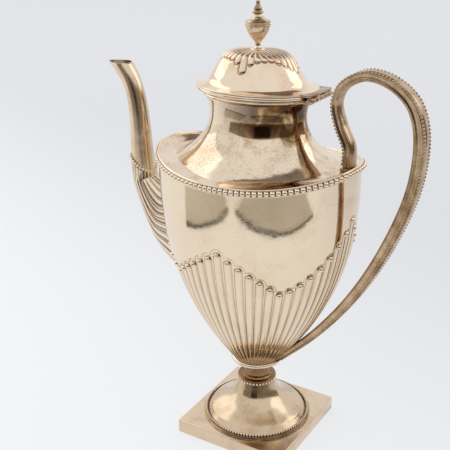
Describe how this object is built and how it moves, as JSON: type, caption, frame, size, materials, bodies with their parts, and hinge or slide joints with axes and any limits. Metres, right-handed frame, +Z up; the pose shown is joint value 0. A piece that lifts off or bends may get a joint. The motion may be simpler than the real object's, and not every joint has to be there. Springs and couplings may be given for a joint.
{
  "type": "coffee pot",
  "caption": "Tall oval vase-shaped silver coffee pot on a round foot and square plinth, with a curved spout, a high loop handle and a hinged domed lid with an urn finial.",
  "frame": {"origin": "centre of the square plinth's underside, on the table", "axes": "+Z up along the pot, -X towards the spout, +X towards the handle, +Y across the pot"},
  "size_m": [0.2451, 0.1194, 0.3201],
  "materials": {
    "polished_silver": "polished",
    "tarnished_silver": "polished, lightly tarnished",
    "plain_metal": "turned"
  },
  "bodies": {
    "pot": {"plinth_apron": "polished_silver", "plinth_top": "polished_silver", "foot_rim": "polished_silver", "foot_dome": "polished_silver", "foot_bead_wire": "polished_silver", "collar_bead_wire": "polished_silver", "stem_collar": "polished_silver", "stem_tube": "tarnished_silver", "stem_ring": "tarnished_silver", "body_dish": "polished_silver", "body_vase": "polished_silver", "shoulder_bead_wire": "polished_silver", "shoulder_lower_wire": "polished_silver", "shoulder_upper_wire": "polished_silver", "shoulder": "polished_silver", "neck": "tarnished_silver", "mouth_lower_band": "tarnished_silver", "mouth_upper_band": "polished_silver", "spout_tube": "polished_silver", "spout_root": "polished_silver", "spout_bead_band": "polished_silver", "handle_pad": "polished_silver", "handle_loop": "polished_silver", "handle_bead_wire_near": "polished_silver", "handle_bead_wire_far": "polished_silver", "hinge_seat": "polished_silver", "hinge_pin": "plain_metal"},
    "lid": {"hinge_leaf": "polished_silver", "lid_edge": "polished_silver", "lid_dome": "polished_silver", "lid_bezel": "polished_silver", "finial_base": "polished_silver", "finial_urn": "polished_silver", "finial_cap": "polished_silver", "finial_tip": "polished_silver", "finial_stud": "plain_metal", "finial_washer": "plain_metal", "finial_nut": "plain_metal"}
  },
  "joints": [
    {"name": "lid_hinge", "type": "hinge", "parent": "pot", "child": "lid", "pos_m": [0.0454, 0, 0.2628], "axis": [0, 1, 0], "range_deg": [0, 92]}
  ]
}
